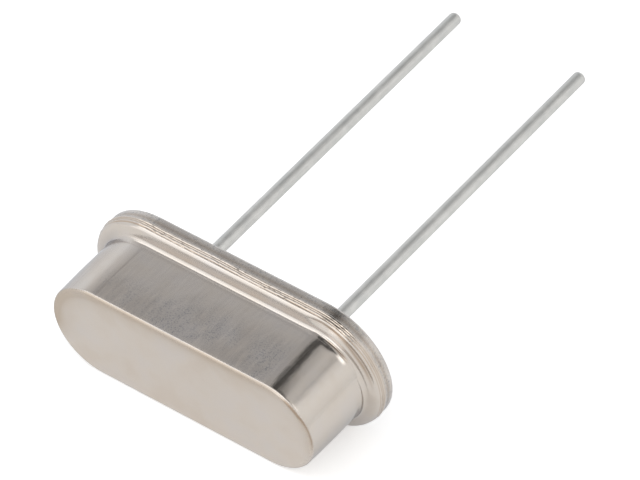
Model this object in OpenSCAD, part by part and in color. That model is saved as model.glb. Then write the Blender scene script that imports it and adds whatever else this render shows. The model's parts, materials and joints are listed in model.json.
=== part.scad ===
// Two-lead quartz crystal in a low-profile obround metal can, all sizes in millimetres.
// Every piece is drawn upright first: the seating face is z = 0, the can's closed end is +z and
// the leads point to -z.  lay_down() then lays the whole crystal on its long side, on the edge of
// the flange and the edge of the closed end, which is how a loose one comes to rest.

/* [Can] */
// Length of the can over its round ends
can_length = 10.02; // [9:0.01:13]
// Width of the can across its flat sides
can_width = 3.57; // [3:0.01:4.4]
// Height of the closed end above the seating face
case_height = 3.4; // [2.8:0.01:5]
// Wall of the drawn can
can_wall = 0.25; // [0.15:0.01:0.3]
// Outer radius round the closed end
end_edge_radius = 0.11; // [0.08:0.01:0.3]
// Inner radius round the closed end
end_inner_radius = 0.1; // [0.05:0.01:0.2]

/* [Flange and weld seam] */
// Reach of the flange beyond the can's wall
flange_reach = 0.5; // [0.35:0.01:0.7]
// Thickness of the can's flange
can_flange = 0.26; // [0.2:0.01:0.35]
// Fillet between the can's wall and its flange
neck_fillet = 0.13; // [0.08:0.01:0.25]
// Radius on the upper edge of the can's flange
flange_edge_radius = 0.13; // [0.06:0.01:0.18]
// Radius of each flange's edge at the weld seam
seam_radius = 0.04; // [0.02:0.01:0.06]
// Flare of the can's mouth above the weld
mouth_radius = 0.12; // [0.05:0.01:0.18]

/* [Base] */
// Thickness of the base's flange
base_flange = 0.52; // [0.35:0.01:0.65]
// Height of the raised land above the seating face
land_height = 0.95; // [0.8:0.01:1.2]
// Clearance between the land and the inside of the can
land_clearance = 0.06; // [0.03:0.01:0.15]
// Radius on the land's upper edge
land_edge_radius = 0.08; // [0.03:0.01:0.15]
// Radius on the lower edge of the base
base_edge_radius = 0.1; // [0.05:0.01:0.2]

/* [Leads] */
// Distance between the two leads
lead_pitch = 4.88; // [4:0.01:6]
// Diameter of the bare wire, as it passes through the glass
wire_diameter = 0.43; // [0.35:0.01:0.55]
// Thickness of the tin coat on the wire
tin_thickness = 0.005; // [0.002:0.001:0.01]
// Length of bare wire left between the seating face and the tin
tin_gap = 0.15; // [0.1:0.01:0.4]
// Length over which the tin grows to its full thickness
tin_taper = 0.6; // [0.55:0.01:1]
// Free length of a lead below the seating face
lead_length = 13.87; // [3:0.01:20]
// Radius on the tip of a lead
lead_tip_radius = 0.12; // [0.05:0.01:0.16]
// Diameter of the nail head inside the can
head_diameter = 0.8; // [0.6:0.01:0.95]
// Thickness of the nail head
head_thickness = 0.2; // [0.1:0.01:0.3]
// Gap between the land and the underside of the nail head
head_gap = 0.12; // [0.08:0.01:0.25]

/* [Glass seals] */
// Diameter of the glass seal and of its hole in the base
seal_diameter = 1.3; // [1.1:0.01:1.6]
// Depth of the glass below the seating face
seal_recess = 0.1; // [0.05:0.01:0.2]
// Radius of the glass where it creeps along the lead
seal_meniscus = 0.09; // [0.03:0.01:0.15]

/* [Spring clips] */
// Width of the clip strip
clip_width = 1.3; // [0.9:0.01:1.6]
// Thickness of the clip strip
clip_thickness = 0.1; // [0.06:0.01:0.14]
// Inner radius of the clip's bends
clip_bend = 0.08; // [0.04:0.01:0.12]
// Rise from the welded pad to the shelf
clip_rise = 0.58; // [0.45:0.01:0.75]
// Length of the blank's end that the shelf carries
shelf_overlap = 0.55; // [0.4:0.01:0.7]
// Height of the end stop above the shelf
stop_height = 0.36; // [0.25:0.01:0.45]
// Width of the window in the riser
window_width = 0.5; // [0.3:0.01:0.7]
// Height of the window in the riser
window_height = 0.18; // [0.08:0.01:0.2]

/* [Quartz blank] */
// Thickness of the quartz blank
blank_thickness = 0.2; // [0.1:0.01:0.3]
// Clearance between the blank's end and the inside of the can
blank_end_clearance = 0.78; // [0.6:0.01:1]
// Clearance between the blank's side and the inside of the can
blank_side_clearance = 0.61; // [0.4:0.01:0.8]
// Gap between the blank's end and the clip's bend
blank_end_gap = 0.02; // [0.01:0.01:0.05]
// Thickness that stands in for the silver film
film_thickness = 0.02; // [0.01:0.01:0.03]
// Length of the electrode's middle field
electrode_length = 3.6; // [2:0.1:4.5]
// Bare margin along each side of the electrode's middle field
electrode_margin = 0.2; // [0.1:0.01:0.3]
// Width of the electrode's tab
tab_width = 0.7; // [0.4:0.01:1]

/* [Conductive adhesive] */
// Radius of the adhesive drop
drop_radius = 0.45; // [0.35:0.01:0.5]
// Depth of the drop's centre below the blank's upper face
drop_sink = 0.15; // [0.05:0.01:0.2]

/* [Hidden] */
$fn = 96;
over = 0.5;                                   // how far a cutter runs past the face it cuts

half_run = (can_length - can_width) / 2;      // half of the straight run between the round ends
can_r = can_width / 2;
bore_r = can_r - can_wall;                    // inside of the can, from its middle line
flange_r = can_r + flange_reach;
seam_z = base_flange;
flange_top = seam_z + can_flange;
ceiling_z = case_height - can_wall;
land_r = bore_r - land_clearance;

lead_x = lead_pitch / 2;
wire_r = wire_diameter / 2;
lead_r = wire_r + tin_thickness;
seal_r = seal_diameter / 2;
head_z = land_height + head_gap;
pad_z = head_z + head_thickness;

blank_half = can_length / 2 - can_wall - blank_end_clearance;
blank_width = 2 * (bore_r - blank_side_clearance);
shelf_z = pad_z + clip_rise;
shelf_top = shelf_z + clip_thickness;
blank_z = shelf_top + film_thickness;
blank_top = blank_z + blank_thickness;
stop_x = blank_half + blank_end_gap + clip_bend;
riser_x = blank_half - shelf_overlap - clip_thickness - clip_bend;

// The plane that touches the flange's edge and the closed end's edge: m = (cos, sin) of the tilt
// has the same reach over both rounded edges.
edge_out = flange_r - flange_edge_radius;
edge_up = flange_top - flange_edge_radius;
end_out = can_r - end_edge_radius;
end_up = case_height - end_edge_radius;
tilt = acos((end_edge_radius - flange_edge_radius) / norm([edge_out - end_out, end_up - edge_up]))
       - atan2(end_up - edge_up, edge_out - end_out);
lift = edge_out * cos(tilt) + edge_up * sin(tilt) + flange_edge_radius;
front_y = -(end_out * sin(tilt) + end_up * cos(tilt) + end_edge_radius);
back_y = (lead_r - lead_tip_radius) * sin(tilt) + (lead_length - lead_tip_radius) * cos(tilt)
         + lead_tip_radius;

// Turns an upright piece onto its side and sets it on z = 0, centred front to back.
module lay_down() {
    translate([0, -(front_y + back_y) / 2, lift]) rotate([90 + tilt, 0, 0]) children();
}

// The left piece is the right piece seen in a mirror.
module on_side(side) {
    if (side < 0) mirror([1, 0, 0]) children();
    else children();
}

// What is left of a square corner at the origin outside a circle of radius r that touches
// both of its edges: added to fill an inner corner, or taken away to round an outer one.
module corner_web(r) {
    difference() {
        translate([-over * r, -over * r]) square((1 + over) * r);
        translate([r, r]) circle(r);
    }
}

// Carries a half section, with x outwards from the middle line, round the obround outline.
module obround() {
    for (side = [-1, 1])
        translate([side * half_run, 0, 0]) rotate([0, 0, -90 * side])
            rotate_extrude(angle = 180) children();
    translate([-half_run, 0, 0]) rotate([90, 0, 90]) linear_extrude(2 * half_run) {
        children();
        mirror([1, 0]) children();
    }
}

// Half section of the drawn can: end wall, side wall, neck fillet and flange in one sheet.
module cover_section() {
    difference() {
        union() {
            translate([0, seam_z]) square([can_r, case_height - seam_z]);
            translate([0, seam_z]) square([flange_r, can_flange]);
            translate([can_r, flange_top]) corner_web(neck_fillet);
        }
        translate([can_r, case_height]) rotate(180) corner_web(end_edge_radius);
        translate([flange_r, flange_top]) rotate(180) corner_web(flange_edge_radius);
        translate([flange_r, seam_z]) rotate(90) corner_web(seam_radius);
        translate([bore_r, seam_z]) corner_web(mouth_radius);
        difference() {
            translate([-over, seam_z - over]) square([bore_r + over, ceiling_z - seam_z + over]);
            translate([bore_r, ceiling_z]) rotate(180) corner_web(end_inner_radius);
        }
    }
}

// Deep-drawn nickel-silver can, welded to the base round its flange.
module cover() {
    color("#c8bfb3") lay_down() obround() cover_section();
}

// Half section of the base: a flange with a raised land that fills the can's mouth.
module base_section() {
    difference() {
        union() {
            square([flange_r, base_flange]);
            square([land_r, land_height]);
        }
        translate([flange_r, 0]) rotate(90) corner_web(base_edge_radius);
        translate([flange_r, base_flange]) rotate(180) corner_web(seam_radius);
        translate([land_r, land_height]) rotate(180) corner_web(land_edge_radius);
    }
}

// Stamped base plate with a round hole for each glass seal.
module base() {
    color("#b5aca2") lay_down() difference() {
        obround() base_section();
        for (side = [-1, 1])
            translate([side * lead_x, 0, -over])
                cylinder(h = land_height + 2 * over, r = seal_r);
    }
}

// Glass bead that holds a lead in the base and keeps the two apart electrically.
module glass_seal(side) {
    color("#3f4a47") lay_down() on_side(side) translate([lead_x, 0, 0]) rotate_extrude() {
        translate([wire_r, seal_recess]) square([seal_r - wire_r, land_height - seal_recess]);
        intersection() {
            translate([wire_r, seal_recess]) rotate(-90) corner_web(seal_meniscus);
            translate([wire_r, 0]) square([seal_r - wire_r, land_height]);
        }
    }
}

// Drawn lead wire with a rounded tip and a flat nail head inside the can.  Its tin coat was
// dipped on afterwards, so it stops short of the glass and grows over a short taper.
module lead(side) {
    full_tin = -tin_gap - tin_taper;
    color("#bdbfbf") lay_down() on_side(side) translate([lead_x, 0, 0]) rotate_extrude()
        difference() {
            union() {
                polygon([[0, -lead_length], [lead_r, -lead_length], [lead_r, full_tin],
                         [wire_r, -tin_gap], [wire_r, head_z], [0, head_z]]);
                translate([0, head_z]) square([head_diameter / 2, head_thickness]);
            }
            translate([lead_r, -lead_length]) rotate(90) corner_web(lead_tip_radius);
        }
}

// Quarter of a bend in the clip strip, in the quadrant that the turn points to.
module bend(turn) {
    rotate(turn) intersection() {
        difference() {
            circle(clip_bend + clip_thickness);
            circle(clip_bend);
        }
        square(clip_bend + clip_thickness);
    }
}

// Side view of the folded clip: welded pad, riser, shelf and end stop, joined by three bends.
module clip_section() {
    bent = clip_bend + clip_thickness;
    pad_start = lead_x - head_diameter / 2;
    translate([pad_start, pad_z]) square([riser_x - clip_bend - pad_start, clip_thickness]);
    translate([riser_x - clip_bend, pad_z + bent]) bend(-90);
    translate([riser_x, pad_z + bent]) square([clip_thickness, clip_rise - bent - clip_bend]);
    translate([riser_x + bent, shelf_z - clip_bend]) bend(90);
    translate([riser_x + bent, shelf_z])
        square([stop_x - clip_bend - riser_x - bent, clip_thickness]);
    translate([stop_x - clip_bend, shelf_z + bent]) bend(-90);
    translate([stop_x, shelf_z + bent]) square([clip_thickness, stop_height - clip_bend]);
}

// Folded clip without its colour, on the right-hand lead.
module clip_shape() {
    difference() {
        translate([0, clip_width / 2, 0]) rotate([90, 0, 0]) linear_extrude(clip_width)
            clip_section();
        translate([riser_x - over, -window_width / 2,
                   pad_z + (clip_rise + clip_thickness - window_height) / 2])
            cube([2 * over, window_width, window_height]);
    }
}

// Spring clip, welded to the lead's nail head, that carries one end of the blank.
module spring_clip(side) {
    color("#d3cdc0") lay_down() on_side(side) clip_shape();
}

module blank_shape() {
    translate([-blank_half, -blank_width / 2, blank_z])
        cube([2 * blank_half, blank_width, blank_thickness]);
}

// Rectangular quartz strip that vibrates between its two electrodes.
module quartz_blank() {
    color("#e4ecee", 0.5) lay_down() blank_shape();
}

// Silver film: a middle field and a tab that runs to the blank's end on the given side.
module film_shape(side, z) {
    field = blank_width - 2 * electrode_margin;
    translate([-electrode_length / 2, -field / 2, z])
        cube([electrode_length, field, film_thickness]);
    on_side(side) translate([0, -tab_width / 2, z]) cube([blank_half, tab_width, film_thickness]);
}

module electrode_upper() {
    color("#e2e2de") lay_down() film_shape(-1, blank_top);
}

module electrode_lower() {
    color("#e2e2de") lay_down() film_shape(1, blank_z - film_thickness);
}

// Drop of silver-filled adhesive that bonds the blank's end into its clip.
module adhesive(side) {
    color("#8f8d88") lay_down() difference() {
        on_side(side) intersection() {
            translate([blank_half, 0, blank_top - drop_sink]) sphere(drop_radius);
            translate([0, -over, shelf_top]) cube([stop_x, 2 * over, drop_radius + clip_rise]);
        }
        on_side(side) clip_shape();
        blank_shape();
        film_shape(-1, blank_top);
        film_shape(1, blank_z - film_thickness);
    }
}

cover();
base();
glass_seal(-1);  // glass_seal_left
glass_seal(1);  // glass_seal_right
lead(-1);  // lead_left
lead(1);  // lead_right
spring_clip(-1);  // spring_clip_left
spring_clip(1);  // spring_clip_right
quartz_blank();
electrode_upper();
electrode_lower();
adhesive(-1);  // adhesive_left
adhesive(1);  // adhesive_right
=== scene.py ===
import json
import bmesh
import bpy
import numpy as np
from mathutils import Matrix


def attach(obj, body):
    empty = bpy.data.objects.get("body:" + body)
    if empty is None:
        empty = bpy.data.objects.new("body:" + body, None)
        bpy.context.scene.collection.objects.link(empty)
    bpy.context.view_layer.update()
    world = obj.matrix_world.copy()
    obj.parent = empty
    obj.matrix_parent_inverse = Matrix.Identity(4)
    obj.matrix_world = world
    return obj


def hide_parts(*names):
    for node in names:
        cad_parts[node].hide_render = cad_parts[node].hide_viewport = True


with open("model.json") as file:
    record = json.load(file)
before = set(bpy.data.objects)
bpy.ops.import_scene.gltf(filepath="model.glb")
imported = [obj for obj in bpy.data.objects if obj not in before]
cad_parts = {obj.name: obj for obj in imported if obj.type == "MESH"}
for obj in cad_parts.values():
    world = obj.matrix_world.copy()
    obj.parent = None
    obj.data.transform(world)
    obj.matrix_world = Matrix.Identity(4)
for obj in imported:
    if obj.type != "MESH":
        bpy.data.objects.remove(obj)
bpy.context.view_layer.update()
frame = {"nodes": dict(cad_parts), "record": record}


# The table and the light. The crystal lies on a plain white table inside a white light tent,
# which is brightest near the table and greyer overhead. Soft lamps shine in: two from the
# front left, three from the front and the front right, and a small one from each side.
bpy.context.scene.view_settings.view_transform = "Standard"


class Wiring:
    """Short calls that fill a node tree. A term is a number, a colour or another node's output."""

    def __init__(self, tree):
        self.nodes, self.links = tree.nodes, tree.links
        self.nodes.clear()

    def put(self, term, socket):
        """Links an output to the socket, or writes a number or a colour on it."""
        if isinstance(term, bpy.types.NodeSocket):
            self.links.new(term, socket)
        else:
            socket.default_value = term

    def add(self, kind, settings=None, **terms):
        """A new node with its settings. Each term is named after its socket, with _ for a space."""
        node = self.nodes.new(kind)
        for setting, value in (settings or {}).items():
            setattr(node, setting, value)
        for socket_name, term in terms.items():
            self.put(term, node.inputs[socket_name.replace("_", " ")])
        return node

    def reckon(self, operation, *terms, kind="ShaderNodeMath"):
        """Product, greatest or another result of the terms, in their order."""
        node = self.add(kind, {"operation": operation})
        for socket, term in zip(node.inputs, terms):
            self.put(term, socket)
        return node.outputs[0]

    def spread(self, term, from_low, from_high, to_low=0.0, to_high=1.0):
        """The term's range from low to high laid evenly over another range, and level outside it."""
        return self.add("ShaderNodeMapRange", Value=term, From_Min=from_low, From_Max=from_high,
                        To_Min=to_low, To_Max=to_high).outputs["Result"]

    def blend(self, share, first, second, blend_type="MIX"):
        """The first colour turned into the second by a share, or with MULTIPLY tinted by it."""
        return self.add("ShaderNodeMix", {"data_type": "RGBA", "blend_type": blend_type},
                        Factor=share, A=first, B=second).outputs["Result"]

    def shades(self, term, steps):
        """Colour ramp. Each step is a place from 0 to 1 and a grey level or a colour."""
        ramp_node = self.add("ShaderNodeValToRGB", Fac=term)
        elements = ramp_node.color_ramp.elements
        while len(elements) > 1:
            elements.remove(elements[-1])
        for k, (place, shade) in enumerate(steps):
            step = elements[0] if k == 0 else elements.new(place)
            step.position = place
            step.color = (*((shade,) * 3 if np.isscalar(shade) else shade), 1.0)
        return ramp_node.outputs["Color"]

    def seen_plainly(self):
        """1 for what the camera sees straight, in gloss or through glass, and 0 for soft light."""
        ray = self.add("ShaderNodeLightPath")
        looks = self.reckon("MAXIMUM", ray.outputs["Is Camera Ray"], ray.outputs["Is Glossy Ray"])
        return self.reckon("MAXIMUM", looks, ray.outputs["Is Transmission Ray"])

    def finish(self, shader, kind="ShaderNodeOutputMaterial"):
        """Joins the shader to the tree's output."""
        self.add(kind, Surface=shader.outputs[0])


def new_material(name):
    """A material, and the wiring of its emptied node tree."""
    material = bpy.data.materials.new(name)
    material.use_nodes = True
    return material, Wiring(material.node_tree)


# Shades of the tent's wall, each at its direction's share of straight up.
TENT_LEFT = [(0.0, (0.94, 0.95, 0.97)), (0.35, (0.97, 0.99, 1.02)), (0.50, (0.96, 0.985, 1.02)),
             (0.63, (0.77, 0.78, 0.80)), (0.74, (0.67, 0.68, 0.70)), (0.79, (0.64, 0.645, 0.655)),
             (0.84, (0.46, 0.465, 0.48)), (0.93, (0.50, 0.50, 0.51)), (1.0, (0.50, 0.505, 0.51))]
TENT_RIGHT = [(0.0, 0.91), (0.14, 0.965), (0.30, 1.03), (0.47, 1.03), (0.588, 0.95), (0.669, 0.80),
              (0.743, 0.47), (0.775, 0.69), (0.857, 0.75), (0.90, 0.70), (0.93, 0.60), (1.0, 0.50)]
TENT_TURN = (-0.35, 0.20)                     # where the left side's shades turn into the right's
TENT_SOFT_LEVEL = (0.75, 0.75, 0.75, 1.0)     # what the tent gives as soft light
world = bpy.data.worlds.new("light_tent")
world.use_nodes = True
bpy.context.scene.world = world
tent = Wiring(world.node_tree)
way = tent.add("ShaderNodeSeparateXYZ", Vector=tent.add("ShaderNodeTexCoord").outputs["Generated"])
wall_shade = tent.blend(tent.spread(way.outputs["X"], *TENT_TURN),
                        tent.shades(way.outputs["Z"], TENT_LEFT),
                        tent.shades(way.outputs["Z"], TENT_RIGHT))
tent_shade = tent.blend(tent.seen_plainly(), TENT_SOFT_LEVEL, wall_shade)
tent.finish(tent.add("ShaderNodeBackground", Color=tent_shade), "ShaderNodeOutputWorld")

TABLE_WIDTH = 1.2
TABLE_COLOUR = (0.80, 0.80, 0.80, 1.0)
TABLE_GLOW = 0.27            # makes the table white where it is seen, and lights nothing
TABLE_CAMERA_GLOW = 0.20     # the same, where it is seen straight
half = TABLE_WIDTH / 2
table_mesh = bpy.data.meshes.new("table_top")
table_mesh.from_pydata([(-half, -half, 0), (half, -half, 0), (half, half, 0), (-half, half, 0)],
                       [], [(0, 1, 2, 3)])
table_top = bpy.data.objects.new("table_top", table_mesh)
bpy.context.collection.objects.link(table_top)
white_paint, table = new_material("white_table")
camera_ray = table.add("ShaderNodeLightPath").outputs["Is Camera Ray"]
glow_level = table.reckon("MULTIPLY_ADD", camera_ray, TABLE_CAMERA_GLOW,
                          table.reckon("MULTIPLY", table.seen_plainly(), TABLE_GLOW))
matt_and_glow = table.add("ShaderNodeAddShader")
table.put(table.add("ShaderNodeBsdfDiffuse", Color=TABLE_COLOUR).outputs[0], matt_and_glow.inputs[0])
table.put(table.add("ShaderNodeEmission", Strength=glow_level).outputs[0], matt_and_glow.inputs[1])
table.finish(matt_and_glow)
table_mesh.materials.append(white_paint)


def way_of(azimuth, height):
    """Unit direction for an azimuth from -Y towards +X and a height above the table, in degrees."""
    a, e = np.radians(azimuth), np.radians(height)
    return np.array([np.sin(a) * np.cos(e), -np.cos(a) * np.cos(e), np.sin(e)])


def facing_turn(direction):
    """Turn that points an object's own -Z against the direction, with its X level."""
    back = direction / np.linalg.norm(direction)
    right = np.cross((0.0, 0.0, 1.0), back)
    right /= np.linalg.norm(right)
    return Matrix(np.stack([right, np.cross(back, right), back], axis=1).tolist())


LAMPS = {   # azimuth, height, distance, width, height of the lamp's face, brightness of the face
    "front_left_lamp": (-44.0, 49.0, 0.50, 0.42, 0.20, 1.08),
    "front_low_lamp": (-34.0, 20.0, 0.50, 0.34, 0.32, 0.48),
    "left_high_lamp": (-106.0, 61.0, 0.50, 0.07, 0.045, 0.35),
    "front_lamp": (14.0, 58.0, 0.50, 0.26, 0.24, 1.30),
    "front_low_right_lamp": (2.0, 14.0, 0.50, 0.22, 0.26, 1.10),
    "front_right_lamp": (44.0, 48.0, 0.50, 0.22, 0.14, 1.20),
    "right_lamp": (101.0, 43.0, 0.50, 0.09, 0.15, 1.6),
}
for lamp_name, (azimuth, height, distance, lamp_width, lamp_height, level) in LAMPS.items():
    lamp = bpy.data.lights.new(lamp_name, "AREA")
    lamp.shape = "RECTANGLE"
    lamp.size, lamp.size_y = lamp_width, lamp_height
    lamp.energy = level * np.pi * lamp_width * lamp_height
    lamp_stand = bpy.data.objects.new(lamp_name, lamp)
    lamp_stand.matrix_world = facing_turn(way_of(azimuth, height)).to_4x4()
    lamp_stand.location = way_of(azimuth, height) * distance
    bpy.context.collection.objects.link(lamp_stand)

# Two slits in the tent's roof and the opening that the camera looks through are dark. Sheets
# of dark cloth stand for them, all at one distance, given by the directions of their corners.
CLOTH_DISTANCE = 0.45
CLOTH_COLOUR = (0.08, 0.08, 0.08, 1.0)
DARK_SHEETS = {   # azimuth and height of each corner
    "roof_slit_back": ((149.5, 81.3), (-114.5, 80.1), (-153.0, 50.8), (-173.0, 51.5)),
    "roof_slit_right": ((-151.9, 73.0), (149.3, 74.3), (122.0, 66.4), (102.7, 58.2), (83.0, 40.6),
                        (69.7, 41.0), (76.5, 64.3), (113.2, 82.4), (-90.7, 82.0)),
    "camera_front": ((28.8, 32.8), (42.4, 32.8), (42.4, 42.0), (28.8, 42.0)),
}
dark_cloth, cloth = new_material("dark_cloth")
cloth.finish(cloth.add("ShaderNodeBsdfDiffuse", Color=CLOTH_COLOUR))
for sheet_name, corners in DARK_SHEETS.items():
    sheet_mesh = bpy.data.meshes.new(sheet_name)
    sheet_mesh.from_pydata([tuple(way_of(*corner) * CLOTH_DISTANCE) for corner in corners], [],
                           [tuple(range(len(corners)))])
    sheet_mesh.materials.append(dark_cloth)
    sheet = bpy.data.objects.new(sheet_name, sheet_mesh)
    sheet.visible_camera = False
    bpy.context.collection.objects.link(sheet)


# The camera looks down on the closed end and one flat side, through a long lens. It is aimed
# at a point near the middle of the can, and is rolled so that its right side is a little higher.
EYE_AZIMUTH, EYE_HEIGHT, EYE_ROLL = 35.595, 37.383, 3.356
EYE_AIM = (0.000076, -0.001657, 0.003194)
EYE_DISTANCE = 0.19
LENS_MM = 347.107
FILM_MM = 36.0
eye_way = way_of(EYE_AZIMUTH, EYE_HEIGHT)
eye_turn = facing_turn(eye_way) @ Matrix.Rotation(np.radians(EYE_ROLL), 3, "Z")
camera = bpy.data.objects.new("camera", bpy.data.cameras.new("camera"))
camera.data.lens = LENS_MM
camera.data.sensor_width = FILM_MM
camera.data.clip_start, camera.data.clip_end = 0.01, 5.0
camera.matrix_world = eye_turn.to_4x4()
camera.location = EYE_AIM + eye_way * EYE_DISTANCE
bpy.context.collection.objects.link(camera)
bpy.context.scene.camera = camera


# The can is one cup drawn from thin nickel-silver strip. Its open end is turned out into a
# flange, which is resistance welded to the base: the pinch of the weld leaves fine ridges
# and small beads round the flange's edge, and drawing leaves faint lines up the sides.
MM = 0.001
seat = next(m for m in frame["record"]["mounts"] if m["name"] == "seat")
seat_place = np.array(seat["pos_m"])
lead_way = np.array(seat["axis"], float)
flat_way = np.cross((1.0, 0.0, 0.0), lead_way)


def laid_down(x, y, z):
    """Metres where the case lies, from millimetres of the upright case: x along it, y towards a
    flat side, z up from the seat. It is the seat's place plus each number times its direction."""
    upright = np.stack(np.broadcast_arrays(x, y, z), axis=-1) * MM
    return seat_place + upright @ np.array([(1.0, 0.0, 0.0), flat_way, -lead_way])


def stadium_ring(half_run, run_steps, turn_steps):
    """One closed loop round a stadium outline, as three rows: the place along its middle line,
    and the outward direction's x and y. It has two straight runs and two half turns of even
    steps."""
    run = np.linspace(-half_run, half_run, run_steps, endpoint=False)
    turn = np.linspace(np.pi / 2, -np.pi / 2, turn_steps, endpoint=False)
    flat = np.zeros(run_steps)
    along = np.concatenate([run, np.full(turn_steps, half_run), -run, np.full(turn_steps, -half_run)])
    out_x = np.concatenate([flat, np.cos(turn), flat, -np.cos(turn)])
    out_y = np.concatenate([flat + 1, np.sin(turn), flat - 1, -np.sin(turn)])
    return along, out_x, out_y


def bend(start, radius, first, last, steps):
    """Arc of a section, walked from its start. The heading, in degrees below level and outwards,
    turns evenly from first to last; each point is the start plus the radius times the change in
    the heading's sine and cosine."""
    heading = np.radians(np.linspace(first, last, steps))
    turn = radius * np.sign(last - first)
    return np.stack([start[0] + turn * (np.sin(heading) - np.sin(heading[0])),
                     start[1] + turn * (np.cos(heading) - np.cos(heading[0]))], axis=1)


def straight(start, end, steps):
    """Even points of a straight part of a section, both ends included."""
    return np.linspace(start, end, steps)


def one_line(pieces_of_section):
    """Joins the parts of a section and drops the points that fall on the one before."""
    line = np.concatenate(pieces_of_section)
    kept = np.concatenate([[True], np.linalg.norm(np.diff(line, axis=0), axis=1) > 1e-6])
    return line[kept]


def section_normals(section):
    """Directions square to a section: its central differences turned by a right angle."""
    along = np.gradient(section, axis=0)
    across = np.stack([-along[:, 1], along[:, 0]], axis=1)
    return across / np.linalg.norm(across, axis=1, keepdims=True)


def ramp(values, start, end):
    """Rises evenly from 0 at the start to 1 at the end, which may be the lower of the two."""
    return np.clip((values - start) / (end - start), 0, 1)


def hump(values, middle, reach):
    """Bump of height 1: e to the minus square of the distance from the middle over the reach."""
    return np.exp(-((values - middle) / reach) ** 2)


WAVE_COUNT = 24
WAVE_LENGTHS = (0.7, 1.6)     # shortest and longest wave, in lengths
WAVE_PEAK = 1.6               # how far the waves' sum usually rises, in standard deviations


def soft_waves(place, height, length, seed, upright):
    """Smooth random relief of about the given height: the sum of plane waves in random ways, of
    lengths near the given one, each at a random phase, over the root of half their number. The
    place's third number counts as often as upright says; a low one draws the waves out up a wall."""
    x, y, z = place
    draw = np.random.default_rng(seed)
    ways = draw.normal(size=(WAVE_COUNT, 3))
    ways /= np.linalg.norm(ways, axis=1, keepdims=True)
    pitch = 2 * np.pi / (length * draw.uniform(*WAVE_LENGTHS, WAVE_COUNT))
    phase = draw.uniform(0, 2 * np.pi, WAVE_COUNT)
    total = np.zeros(np.broadcast(x, y, z).shape)
    for (a, b, c), k, p in zip(ways, pitch, phase):
        total += np.cos(k * (a * x + b * y + c * upright * z) + p)
    return height * total / np.sqrt(WAVE_COUNT / 2) / WAVE_PEAK


SAME_PLACE = 2e-7     # metres between points of a mesh that are merged


def surface_piece(name, points, material, marks):
    """Closed round piece from a grid of places in metres: neighbours in the grid are joined by
    faces, and the last column to the first. Places that coincide are merged and all faces are
    turned outwards. Each mark is a named grid of numbers that the material can read."""
    rows, columns = points.shape[:2]
    i, j = np.meshgrid(np.arange(rows - 1), np.arange(columns), indexing="ij")
    k = (j + 1) % columns
    corners = np.stack([i * columns + j, i * columns + k,
                        (i + 1) * columns + k, (i + 1) * columns + j], axis=-1)
    mesh = bpy.data.meshes.new(name)
    mesh.from_pydata(points.reshape(-1, 3), [], corners.reshape(-1, 4))
    for mark_name, grid in marks.items():
        mark = mesh.attributes.new(mark_name, "FLOAT", "POINT")
        values = np.broadcast_to(grid, (rows, columns)).ravel().astype(np.float32)
        mark.data.foreach_set("value", values)
    work = bmesh.new()
    work.from_mesh(mesh)
    bmesh.ops.remove_doubles(work, verts=work.verts, dist=SAME_PLACE)
    bmesh.ops.recalc_face_normals(work, faces=work.faces)
    work.to_mesh(mesh)
    work.free()
    mesh.shade_smooth()
    mesh.materials.append(material)
    piece = bpy.data.objects.new(name, mesh)
    bpy.context.collection.objects.link(piece)
    return piece


WEAR = ("Cloud", "Lines", "Grain", "Scratches")
LINE_STRETCH = (1.0, 1.0, 0.03)                                    # drawn lines run along Z
CUT_SLANT, CUT_STRETCH = (0.35, 0.75, 0.4), (9.0, 9.0, 0.45)       # scratches run aslant
CUT_SPACING, CUT_WIDTH = 0.6, 0.035


def metal_wear_group():
    """Node group of what handling and drawing leave on plated strip. Clouds are broad soft
    patches, lines are long thin streaks along one axis of the place, grain is fine speckle, and
    scratches are sparse thin cuts."""
    group = bpy.data.node_groups.new("metal_wear", "ShaderNodeTree")
    face = group.interface
    face.new_socket("Place", in_out="INPUT", socket_type="NodeSocketVector")
    for label, size in (("Cloud Size", 1.0), ("Line Size", 0.05), ("Grain Size", 0.06)):
        face.new_socket(label, in_out="INPUT", socket_type="NodeSocketFloat").default_value = size
    for label in WEAR:
        face.new_socket(label, in_out="OUTPUT", socket_type="NodeSocketFloat")
    wear = Wiring(group)
    given = wear.add("NodeGroupInput").outputs

    def noise(place, size_label, detail, roughness):
        """Soft noise of the size that the group is given under the label."""
        scale = wear.reckon("DIVIDE", 1.0, given[size_label])
        return wear.add("ShaderNodeTexNoise", Vector=place, Scale=scale, Detail=detail,
                        Roughness=roughness).outputs["Fac"]

    drawn_out = wear.reckon("MULTIPLY", given["Place"], LINE_STRETCH, kind="ShaderNodeVectorMath")
    slant = wear.add("ShaderNodeMapping", Vector=given["Place"], Rotation=CUT_SLANT, Scale=CUT_STRETCH)
    cuts = wear.add("ShaderNodeTexVoronoi", {"feature": "DISTANCE_TO_EDGE"},
                    Vector=slant.outputs[0], Scale=CUT_SPACING)
    wear.add("NodeGroupOutput",
             Cloud=noise(given["Place"], "Cloud Size", 3.0, 0.55),
             Lines=noise(drawn_out, "Line Size", 2.0, 0.6),
             Grain=noise(given["Place"], "Grain Size", 1.0, 0.5),
             Scratches=wear.spread(cuts.outputs["Distance"], 0.0, CUT_WIDTH, 1.0, 0.0))
    return group


metal_wear = metal_wear_group()
CASE_TILT = float(np.arctan2(lead_way[2], lead_way[1]))


def place_in_mm(wiring):
    """Place on the upright case in millimetres, with its Z along the draw: the object's own place
    turned by the case's tilt and enlarged a thousand times."""
    where = wiring.add("ShaderNodeTexCoord").outputs["Object"]
    return wiring.add("ShaderNodeMapping", Vector=where, Scale=(1 / MM,) * 3,
                      Rotation=(-CASE_TILT - np.pi / 2, 0.0, 0.0)).outputs[0]


def mark_share(wiring, mark_name):
    """A mark's number at each point of the piece."""
    return wiring.add("ShaderNodeAttribute", {"attribute_name": mark_name}).outputs["Fac"]


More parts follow.
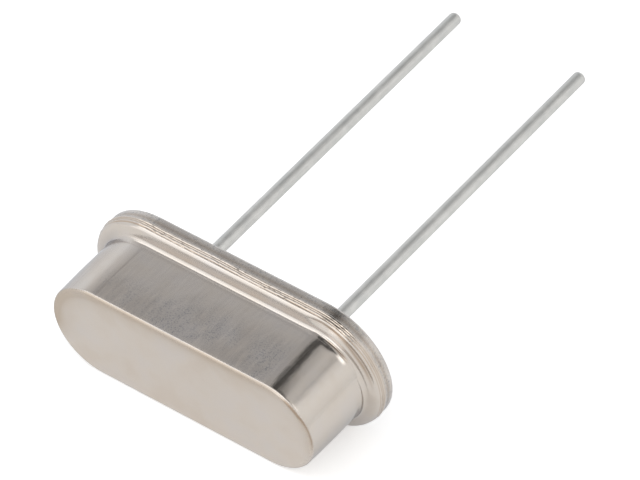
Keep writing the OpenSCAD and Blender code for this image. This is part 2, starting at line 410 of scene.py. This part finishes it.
def weighed(wiring, wear, shares):
    """Sum of the wear group's outputs, each times its share."""
    total = 0.0
    for label, share in zip(WEAR, shares):
        total = wiring.reckon("MULTIPLY_ADD", wear[label], share, total)
    return total


TONE_PLACES = (0.36, 0.50, 0.66)         # where the clouds reach the darkest, middle and lightest tone
STREAK_SPAN = (0.3, 0.7)                 # where the lines turn from dark to light
SPECK_GRAINS, SPECK_CLOUDS = (0.52, 0.66), (0.25, 0.55)
SPECK_TINT = (0.45, 0.50, 0.58, 1.0)
GRAZING_TINT = (0.785, 0.81, 0.85, 1.0)
EDGE_DULLING = 0.10


def plated_metal(name, colours, roughness, sizes, relief, line_tint=0.0, marks=None,
                 speckle=0.0, speckle_mark=None, band=None):
    """Plated metal. Three colours follow the clouds. The roughness, after its own level, and the
    relief in millimetres have a share for each of the wear group's outputs, and the sizes are the
    group's. Marks tint the places where a named number is high, speckle darkens fine grains where
    the clouds and its own mark are high, and a band is a height, a half width and a tint."""
    metal, wiring = new_material(name)
    place = place_in_mm(wiring)
    wear = wiring.add("ShaderNodeGroup", {"node_tree": metal_wear}, Place=place, Cloud_Size=sizes[0],
                      Line_Size=sizes[1], Grain_Size=sizes[2]).outputs
    colour = wiring.blend(line_tint, wiring.shades(wear["Cloud"], zip(TONE_PLACES, colours)),
                          wiring.spread(wear["Lines"], *STREAK_SPAN), "MULTIPLY")
    for mark_name, tint in (marks or {}).items():
        colour = wiring.blend(mark_share(wiring, mark_name), colour, (*tint, 1.0), "MULTIPLY")
    if speckle:
        share = wiring.reckon("MULTIPLY", wiring.spread(wear["Grain"], *SPECK_GRAINS),
                              wiring.spread(wear["Cloud"], *SPECK_CLOUDS, 0.0, speckle))
        if speckle_mark:
            share = wiring.reckon("MULTIPLY", share, mark_share(wiring, speckle_mark))
        colour = wiring.blend(share, colour, SPECK_TINT, "MULTIPLY")
    if band:
        band_height, band_reach, band_tint = band
        seat_height = float(lead_way @ seat_place) / MM
        height = wiring.add("ShaderNodeSeparateXYZ", Vector=place).outputs["Z"]
        off = wiring.reckon("ABSOLUTE", wiring.reckon("SUBTRACT", height, band_height - seat_height))
        colour = wiring.blend(wiring.spread(off, 0.0, band_reach, 1.0, 0.0), colour,
                              (*band_tint, 1.0), "MULTIPLY")
    level, *shares = roughness
    polish = wiring.reckon("ADD", weighed(wiring, wear, shares), level - sum(shares[:3]) / 2)
    dulled = wiring.reckon("MULTIPLY_ADD", mark_share(wiring, "edge_wear"), EDGE_DULLING, polish)
    lift = wiring.add("ShaderNodeBump", Strength=1.0, Distance=MM, Height=weighed(wiring, wear, relief))
    wiring.finish(wiring.add(
        "ShaderNodeBsdfPrincipled", Base_Color=colour, Metallic=1.0, Roughness=dulled,
        Specular_Tint=GRAZING_TINT, Normal=lift.outputs[0]))
    return metal


# Sizes of the can in millimetres. It narrows a little from its foot to the closed end.
CAN_HALF_WIDTH, CAN_HALF_RUN = 1.805, 3.225
END_HALF_WIDTH, END_HALF_RUN = 1.738, 3.280
CASE_HEIGHT = 3.415
CAN_WALL = 0.25
END_EDGE, END_INNER_EDGE = 0.107, 0.10
DISH_REACH, DISH_SLOPE = 0.42, 4.0            # the closed end is sunk a little inside its edge
WALL_FOOT = 1.045
FLARE_RADIUS, FLARE_END = 0.60, 79.0
FOOT_FILLET = 0.15
TROUGH_SLOPES = (13.0, 21.0)                  # the flange sinks, then rolls over a crown
CROWN_RADIUS = 0.15
FLANGE_RADIUS = 2.30
WELD_TOP, WELD_FOOT, WELD_LEAN = 0.66, 0.39, 13.0
WELD_RISE = 0.22                              # height over which the lean takes up reach
WELD_EDGE = 0.03
MOUTH_EDGE = 0.12
RING_STEPS = (150, 120)                       # steps of a straight run and of a half turn

can_nickel = plated_metal(
    "drawn_nickel_silver",
    ((0.600, 0.540, 0.480), (0.615, 0.562, 0.508), (0.610, 0.565, 0.525)),
    (0.17, 0.06, 0.05, 0.04, 0.05), (1.3, 0.05, 0.05), (0.0004, 0.0002, 0.00018, -0.0004),
    # Of these tints, the rim, left-end, groove and crease ones are painted shade, and the side-line one is
    # partly a painted reflection.
    marks={"painted_rim_shade": (0.84, 0.79, 0.73), "painted_left_shade": (0.75, 0.76, 0.795), "dark_side_lines": (0.80, 0.79, 0.79),
           "grime": (0.875, 0.885, 0.905), "painted_groove_shade": (0.82, 0.73, 0.64), "painted_crease_shade": (0.64, 0.56, 0.49)},
    speckle=0.55, speckle_mark="grime")

# The section runs from the middle of the closed end, over its edge, down the wall, out along
# the flange, down the weld's leaning edge, and back up the inside of the cup.
crest = CAN_HALF_WIDTH - END_EDGE
dish_turn = np.radians(DISH_SLOPE)
dish_radius = DISH_REACH / 2 / np.sin(dish_turn)
dish_edge = (crest - DISH_REACH, CASE_HEIGHT - 2 * dish_radius * (1 - np.cos(dish_turn)))
rise = bend(dish_edge, dish_radius, 0, -DISH_SLOPE, 12)
level_off = bend(rise[-1], dish_radius, -DISH_SLOPE, 0, 12)
end_rounding = bend(level_off[-1], END_EDGE, 0, 90, 17)
flare = bend((CAN_HALF_WIDTH, WALL_FOOT), FLARE_RADIUS, 90, FLARE_END, 9)
foot = bend(flare[-1], FOOT_FILLET, FLARE_END, TROUGH_SLOPES[0], 13)
lean = np.radians(90 - WELD_LEAN)
trough_start, trough_end = np.sin(np.radians(TROUGH_SLOPES))
crown_reach = CROWN_RADIUS * (np.sin(lean) - trough_end)
trough_run = FLANGE_RADIUS - WELD_RISE / np.tan(lean) - crown_reach - foot[-1][0]
trough = bend(foot[-1], trough_run / (trough_end - trough_start), *TROUGH_SLOPES, 19)
crown = bend(trough[-1], CROWN_RADIUS, TROUGH_SLOPES[1], 90 - WELD_LEAN, 17)
weld_low_height = WELD_FOOT + WELD_EDGE
weld_low = (crown[-1][0] + (crown[-1][1] - weld_low_height) / np.tan(lean), weld_low_height)
weld_lip = bend(weld_low, WELD_EDGE, 90 - WELD_LEAN, 180, 6)
inner = CAN_HALF_WIDTH - CAN_WALL
ceiling = CASE_HEIGHT - CAN_WALL
can_section = one_line([
    straight((0.0, dish_edge[1]), dish_edge, 9), rise, level_off, end_rounding,
    straight(end_rounding[-1], (CAN_HALF_WIDTH, WALL_FOOT), 24), flare, foot, trough, crown,
    straight(crown[-1], weld_low, 44), weld_lip,
    straight(weld_lip[-1], (inner + MOUTH_EDGE, weld_lip[-1][1]), 3),
    bend((inner + MOUTH_EDGE, weld_lip[-1][1]), MOUTH_EDGE, 180, 270, 4),
    straight((inner, weld_lip[-1][1] + MOUTH_EDGE), (inner, ceiling - END_INNER_EDGE), 3),
    bend((inner, ceiling - END_INNER_EDGE), END_INNER_EDGE, -90, -180, 4),
    straight((inner - END_INNER_EDGE, ceiling), (0.0, ceiling), 3),
])
middle, out_x, out_y = stadium_ring(1.0, *RING_STEPS)
d, z = can_section[:, :1], can_section[:, 1:]         # distance from the middle line, and height
normal_out, normal_up = np.split(section_normals(can_section), 2, axis=1)
along_x, along_y = middle * CAN_HALF_RUN + d * out_x, d * out_y + 0 * middle
spot = (along_x, along_y, z)

# The weld's pinch: three ridges that wander up and down and break into beads, with a fine grit
# on them, and painted shade that darkens the grooves between them. Waves give a height, a length,
# a seed and a share of height.
RIDGES = ((0.447, 0.013, 0.026), (0.513, 0.009, 0.020), (0.578, 0.014, 0.026))  # place, height, width
RIDGE_WANDER = (0.012, 2.2, 11, 0.0)
RIDGE_SWELLS, RIDGE_BEADS = (0.30, 0.8, 12, 0.0), (0.45, 0.14, 14, 1.5)
WELD_GRIT = (0.002, 0.16, 13, 1.0)
WELD_BLEND, WELD_DEPTH = 0.04, 0.05           # how the weld fades in at its top, and reaches inwards
GROOVE_SPAN = (0.011, 0.001)                  # ridge heights where the dark sets in and is full
weld_share = ramp(z, WELD_TOP, WELD_TOP - WELD_BLEND) * (d > FLANGE_RADIUS - WELD_DEPTH)
wander = soft_waves(spot, *RIDGE_WANDER)
ridges = sum(high * hump(z + wander, height, wide) for height, high, wide in RIDGES)
beads = 1.0 + soft_waves(spot, *RIDGE_SWELLS) + soft_waves(spot, *RIDGE_BEADS)
# Painted shade: brown darkening in the grooves between the ridges.
painted_groove_shade = weld_share * ramp(ridges, *GROOVE_SPAN) * (z > weld_low_height)

# Painted shade in the creases that drawing left on the right end: dark brown bands in the flange's
# trough, at the foot of the wall and inside the edge of the closed end, each between two places along the
# can.
VALLEY_PLACE, VALLEY_WIDTH, VALLEY_PULL, VALLEY_PULL_SPAN = 0.35, 0.045, 0.08, (3.9, 4.7)
VALLEY_SPAN, VALLEY_SIDE = (3.1, 3.9), (0.2, 1.1)
WALL_FOLD, WALL_FOLD_WIDTH, WALL_FOLD_DEPTH = 0.905, 0.045, 0.09
WALL_FOLD_START, WALL_FOLD_END = (3.7, 3.9), (4.6, 4.4)
EDGE_FOLD, EDGE_FOLD_WIDTH, EDGE_FOLD_DEPTH, EDGE_FOLD_DARK = 0.018, 0.018, 0.12, 1.4
EDGE_FOLD_SPAN, EDGE_FOLD_SIDE = (3.85, 4.25), (-0.3, 0.2)
TIP_SPAN, TIP_SINK, TIP_WIDEN, TIP_FADE = (4.55, 4.85), 0.030, 0.012, 0.35
on_trough = (d < FLANGE_RADIUS) * (z > WELD_TOP) * (z < WALL_FOOT)
valley_reach = VALLEY_PLACE - VALLEY_PULL * ramp(along_x, *VALLEY_PULL_SPAN) - 2 * wander
valley_shade = on_trough * ramp(along_x, *VALLEY_SPAN) * ramp(along_y, *VALLEY_SIDE) \
    * hump(d, CAN_HALF_WIDTH + valley_reach, VALLEY_WIDTH)
near_wall = d < CAN_HALF_WIDTH + WALL_FOLD_DEPTH
wall_fold_shade = near_wall * hump(z + wander, WALL_FOLD, WALL_FOLD_WIDTH) * (along_y > 0) \
    * ramp(along_x, *WALL_FOLD_START) * ramp(along_x, *WALL_FOLD_END)
tip_share = ramp(along_x, *TIP_SPAN)
edge_fold_shade = EDGE_FOLD_DARK * (1 - TIP_FADE * tip_share) * (d > CAN_HALF_WIDTH - EDGE_FOLD_DEPTH) \
    * hump(z, CASE_HEIGHT - EDGE_FOLD - TIP_SINK * tip_share, EDGE_FOLD_WIDTH + TIP_WIDEN * tip_share) \
    * ramp(along_x, *EDGE_FOLD_SPAN) * ramp(along_y, *EDGE_FOLD_SIDE)
# Painted shade: the three bands darken the colour where shade falls in the creases.
painted_crease_shade = np.clip(np.maximum(np.maximum(valley_shade, wall_fold_shade), edge_fold_shade), 0, 1)

# Shallow dents and ripples: the right end's foot swells and its trough sags, and the walls
# wave by about a thousandth of a millimetre, most at the corner of the right end.
RIGHT_END = (2.9, 3.5)
FOOT_SWELL = (0.99, 0.014, 0.08)              # place, height and width
TROUGH_SAG, SAG_SIDE = 0.055, (0.0, 0.8)
SAG_PLACES, SAG_SHARES = (0.08, 0.18, 0.33, 0.37, 0.44), (0.0, 0.15, 1.0, 0.85, 0.0)
WALL_BLEND = 0.15
WALL_RIPPLES = ((0.0006, 0.55, 15, 0.35), (0.0005, 0.15, 16, 0.3))
CORNER_RIPPLE, CORNER, CORNER_REACH = (0.0009, 0.12, 20, 0.6), 3.55, 0.3
end_share = ramp(along_x, *RIGHT_END)
swell_place, swell_height, swell_width = FOOT_SWELL
swell = near_wall * swell_height * hump(z, swell_place, swell_width)
sag = ramp(along_y, *SAG_SIDE) * on_trough * np.interp(d - CAN_HALF_WIDTH, SAG_PLACES, SAG_SHARES)
ripples = sum(soft_waves(spot, *waves) for waves in WALL_RIPPLES) \
    + hump(along_x, CORNER, CORNER_REACH) * (along_y > 0) * soft_waves(spot, *CORNER_RIPPLE)
lift = weld_share * (ridges * beads + soft_waves(spot, *WELD_GRIT)) + end_share * swell \
    + ramp(z, WALL_FOOT, WALL_FOOT + WALL_BLEND) * ripples

rise_share = ramp(z, WALL_FOOT, CASE_HEIGHT)
half_run = CAN_HALF_RUN + (END_HALF_RUN - CAN_HALF_RUN) * rise_share
d = d * (1 + (END_HALF_WIDTH / CAN_HALF_WIDTH - 1) * rise_share ** 2)
EDGE_WEAR_RISE, EDGE_WEAR_SPAN = 0.03, (0.12, 0.07)
wear_start = CASE_HEIGHT - END_EDGE
edge_wear = ramp(z, wear_start, wear_start + EDGE_WEAR_RISE) * ramp(d, *(crest - np.array(EDGE_WEAR_SPAN)))
d = d + normal_out * lift
z = z + normal_up * lift - TROUGH_SAG * end_share * sag
x, y = middle * half_run + d * out_x, d * out_y

# Painted shade: a darker tan band inside the closed end's rim on its upper side, standing in for
# the shaded table that the rim reflects, and a darker, cooler left end, standing in for the dimmer
# surroundings that it reflects. Speckled grime lies on the flat side. Two faint dark lines lie where
# that side begins; the one along its foot is a painted reflection.
LEVEL_ENOUGH = 0.3                            # square of the normal's upright part on the closed end
RIM_PLACE, RIM_SIDE = 0.06, (-0.9, 0.1)
RIM_BANDS = ((0.8, 0.24), (0.25, 0.7))                          # share and reach
RIM_LEFT, RIM_RIGHT = (0.8, -2.8, -3.8), (-0.45, 3.1, 3.9)      # share gained from x to x
LEFT_SHADE_STEPS, LEFT_SHADE_RISE = ((0.45, -3.9, -4.4), (0.55, -4.3, -4.65)), (0.75, 0.87)
UPRIGHT_LINE, UPRIGHT_WIDTH = 0.02 - CAN_HALF_RUN, 0.022
FOOT_LINE, FOOT_LINE_WIDTH, FOOT_LINE_SHARE = 1.06, 0.018, 0.45
UPRIGHT_LINE_SIDE, FOOT_LINE_SIDE, GRIME_SIDE = 1.0, 1.6, 0.6   # they lie past this on the flat side
SIDE_LINE_DEPTH = 0.01
GRIME_FOOT, GRIME_RISE = 1.45, 0.7
GRIME_LEFT = (0.6, -0.4, -1.9)                                  # it starts higher towards the left
GRIME_ENDS = ((3.4, 3.1), (-3.65, -3.3))
GRIME_LEVEL = 0.65
GRIME_WAVES = ((0.25, 1.6, 17, 1.0), (0.22, 0.3, 18, 0.3), (0.22, 0.13, 19, 0.2))


def gained(steps):
    """Sum of shares, each gained along the can between its two places."""
    return sum(share * ramp(x, start, end) for share, start, end in steps)


on_end = (z > CASE_HEIGHT - END_EDGE) * (normal_up ** 2 > LEVEL_ENOUGH)
rim = sum(share * hump(d, END_HALF_WIDTH - RIM_PLACE, reach) for share, reach in RIM_BANDS)
# Painted shade: a darker tan band inside the closed end's rim, on its upper side, standing in for the
# shaded table that the rim reflects.
painted_rim_shade = on_end * ramp(y, *RIM_SIDE) * (1.0 + gained((RIM_LEFT, RIM_RIGHT))) * rim
# Painted shade: the left end is made darker and cooler, standing in for the dimmer, cooler surroundings
# that it reflects.
painted_left_shade = gained(LEFT_SHADE_STEPS) * (1 - on_end) * ramp(z, *LEFT_SHADE_RISE)
# Two faint dark lines where the flat side begins: one up the wall at its left end, and a painted
# reflection along its foot.
upright_line = hump(x, UPRIGHT_LINE, UPRIGHT_WIDTH) * (y > UPRIGHT_LINE_SIDE) * (z > WALL_FOOT)
foot_reflection_line = FOOT_LINE_SHARE * hump(z, FOOT_LINE, FOOT_LINE_WIDTH) * (y > FOOT_LINE_SIDE)
dark_side_lines = np.maximum(upright_line, foot_reflection_line) * (d < CAN_HALF_WIDTH + SIDE_LINE_DEPTH) * (1 - on_end)
grime_foot = GRIME_FOOT + gained((GRIME_LEFT,))
streaks = GRIME_LEVEL + sum(soft_waves((x, y, z), *waves) for waves in GRIME_WAVES)
grime = ramp(z, grime_foot, grime_foot + GRIME_RISE) * (1 - on_end) * (y > GRIME_SIDE) * streaks
for span in GRIME_ENDS:
    grime = grime * ramp(x, *span)
can = surface_piece("can", laid_down(x, y, z), can_nickel,
                    {"edge_wear": edge_wear, "painted_rim_shade": painted_rim_shade, "painted_left_shade": painted_left_shade, "dark_side_lines": dark_side_lines,
                     "grime": np.clip(grime, 0, 1), "painted_groove_shade": painted_groove_shade, "painted_crease_shade": painted_crease_shade})
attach(can, "root")
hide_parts("cover")


# The base is a plate stamped from steel strip and plated with nickel. A raised land on it
# fills the can's mouth; its sheared edge is darker in the middle, where the strip tore.
base_nickel = plated_metal(
    "nickel_plated_steel",
    ((0.585, 0.545, 0.510), (0.620, 0.580, 0.540), (0.655, 0.620, 0.585)),
    (0.26, 0.08, 0.0, 0.06, 0.05), (0.60, 0.05, 0.07), (0.0009, 0.0, 0.0005, -0.0004), speckle=0.5,
    band=(0.275, 0.12, (0.74, 0.69, 0.64)))
frame["nodes"]["base"].data.materials[0] = base_nickel


# Each lead passes through a bead of dark green-grey sealing glass, fused into a hole of the
# base. It is nearly opaque, glossy from the furnace, with a few bubbles under its skin.
SEAL_DARK, SEAL_LIGHT = (0.030, 0.042, 0.039), (0.075, 0.100, 0.092)
SEAL_GLOSS = (0.06, 0.22)
SEAL_MOTTLE = 2.4               # mottles in a millimetre
BUBBLE_SIZE, BUBBLE_EDGE, BUBBLE_LIFT = 0.09, 0.25, 0.01
BUBBLE_STRENGTH = 0.5
sealing_glass, seal = new_material("sealing_glass")
seal_spot = place_in_mm(seal)
melt = seal.add("ShaderNodeTexNoise", Vector=seal_spot, Scale=SEAL_MOTTLE, Detail=3.0).outputs["Fac"]
bubbles = seal.add("ShaderNodeTexVoronoi", Vector=seal_spot, Scale=1 / (2 * BUBBLE_SIZE))
skin = seal.add("ShaderNodeBump", Strength=BUBBLE_STRENGTH, Distance=BUBBLE_LIFT * MM,
                Height=seal.spread(bubbles.outputs["Distance"], 0.0, BUBBLE_EDGE))
seal.finish(seal.add(
    "ShaderNodeBsdfPrincipled", IOR=1.52, Transmission_Weight=0.25,
    Base_Color=seal.shades(melt, [(0.35, SEAL_DARK), (0.65, SEAL_LIGHT)]),
    Roughness=seal.spread(melt, 0.0, 1.0, *SEAL_GLOSS), Normal=skin.outputs[0]))
for side in ("glass_seal_left", "glass_seal_right"):
    frame["nodes"][side].data.materials[0] = sealing_glass


# The two leads are drawn iron-nickel wire, fused through the glass and dipped in tin
# afterwards: matt, a little uneven, with the draw lines showing through.
lead_tin = plated_metal(
    "dipped_tin",
    ((0.65, 0.65, 0.63), (0.69, 0.685, 0.66), (0.73, 0.725, 0.70)),
    (0.47, 0.10, 0.12, 0.10, 0.05), (0.45, 0.03, 0.05), (0.002, 0.002, 0.002, -0.0005), line_tint=0.10)
for side in ("lead_left", "lead_right"):
    frame["nodes"][side].data.materials[0] = lead_tin


# Inside the can, a clip folded from nickel-silver strip is welded to each lead's nail head
# and carries one end of the blank. The strip is bright, with fine lines from rolling.
sprung_strip = plated_metal(
    "rolled_nickel_silver",
    ((0.58, 0.53, 0.46), (0.63, 0.58, 0.51), (0.66, 0.62, 0.56)),
    (0.24, 0.06, 0.10, 0.04, 0.05), (0.6, 0.03, 0.03), (0.0006, 0.0008, 0.0002, -0.0004), line_tint=0.12)
for side in ("spring_clip_left", "spring_clip_right"):
    frame["nodes"][side].data.materials[0] = sprung_strip


# The blank is a strip sawn from quartz crystal and lapped to thickness: clear stone under an
# evenly ground, faintly frosted skin.
QUARTZ_DIM, QUARTZ_CLEAR = (0.80, 0.84, 0.85), (0.90, 0.93, 0.94)
FROST = (0.22, 0.38)
LAPPED_GRAINS, LAPPED_DEPTH = 30.0, 0.002       # grains in a millimetre, and their depth in one
LAPPED_STRENGTH = 0.4
lapped_quartz, stone = new_material("lapped_quartz")
ground = stone.add("ShaderNodeTexNoise", Vector=place_in_mm(stone), Scale=LAPPED_GRAINS,
                   Detail=4.0).outputs["Fac"]
pits = stone.add("ShaderNodeBump", Strength=LAPPED_STRENGTH, Distance=LAPPED_DEPTH * MM, Height=ground)
stone.finish(stone.add(
    "ShaderNodeBsdfPrincipled", IOR=1.544, Transmission_Weight=0.85,
    Base_Color=stone.shades(ground, [(0.3, QUARTZ_DIM), (0.7, QUARTZ_CLEAR)]),
    Roughness=stone.spread(ground, 0.0, 1.0, *FROST), Normal=pits.outputs[0]))
frame["nodes"]["quartz_blank"].data.materials[0] = lapped_quartz


# The two electrodes are silver films of well under a thousandth of a millimetre, deposited in
# a vacuum through a mask, one on each face of the blank. They follow its ground skin.
silver_film = plated_metal(
    "deposited_silver",
    ((0.80, 0.785, 0.75), (0.84, 0.83, 0.80), (0.87, 0.865, 0.845)),
    (0.28, 0.05, 0.02, 0.08, 0.02), (0.7, 0.05, 0.03), (0.0002, 0.0001, 0.0008, -0.0001))
for film in ("electrode_upper", "electrode_lower"):
    frame["nodes"][film].data.materials[0] = silver_film


# A drop of epoxy filled with silver flakes bonds and connects the blank to each clip. It
# sets dull grey, with flakes that glint where they lie flat.
PASTE_DARK, PASTE_LIGHT = (0.30, 0.29, 0.275), (0.50, 0.49, 0.465)
PASTE_POLISH = (0.60, 0.30)                     # roughness between the flakes and on them
FLAKE_SIZE = 0.02
FLAKE_SPAN = (0.6, 0.9)                         # random numbers of the flakes that lie flat
LUMPS, LUMP_HEIGHT, LUMP_STRENGTH = 8.0, 0.02, 0.6    # lumps in a millimetre, and their height in one
silver_epoxy, paste = new_material("silver_epoxy")
paste_spot = place_in_mm(paste)
flakes = paste.add("ShaderNodeTexVoronoi", Vector=paste_spot, Scale=1 / FLAKE_SIZE).outputs["Color"]
glint = paste.add("ShaderNodeSeparateColor", Color=flakes).outputs
lumps = paste.add("ShaderNodeTexNoise", Vector=paste_spot, Scale=LUMPS).outputs["Fac"]
lumpy = paste.add("ShaderNodeBump", Strength=LUMP_STRENGTH, Distance=LUMP_HEIGHT * MM, Height=lumps)
paste.finish(paste.add(
    "ShaderNodeBsdfPrincipled",
    Base_Color=paste.shades(glint[0], [(0.2, PASTE_DARK), (0.8, PASTE_LIGHT)]),
    Metallic=paste.spread(glint[1], *FLAKE_SPAN),
    Roughness=paste.spread(glint[1], 0.0, 1.0, *PASTE_POLISH), Normal=lumpy.outputs[0]))
for side in ("adhesive_left", "adhesive_right"):
    frame["nodes"][side].data.materials[0] = silver_epoxy
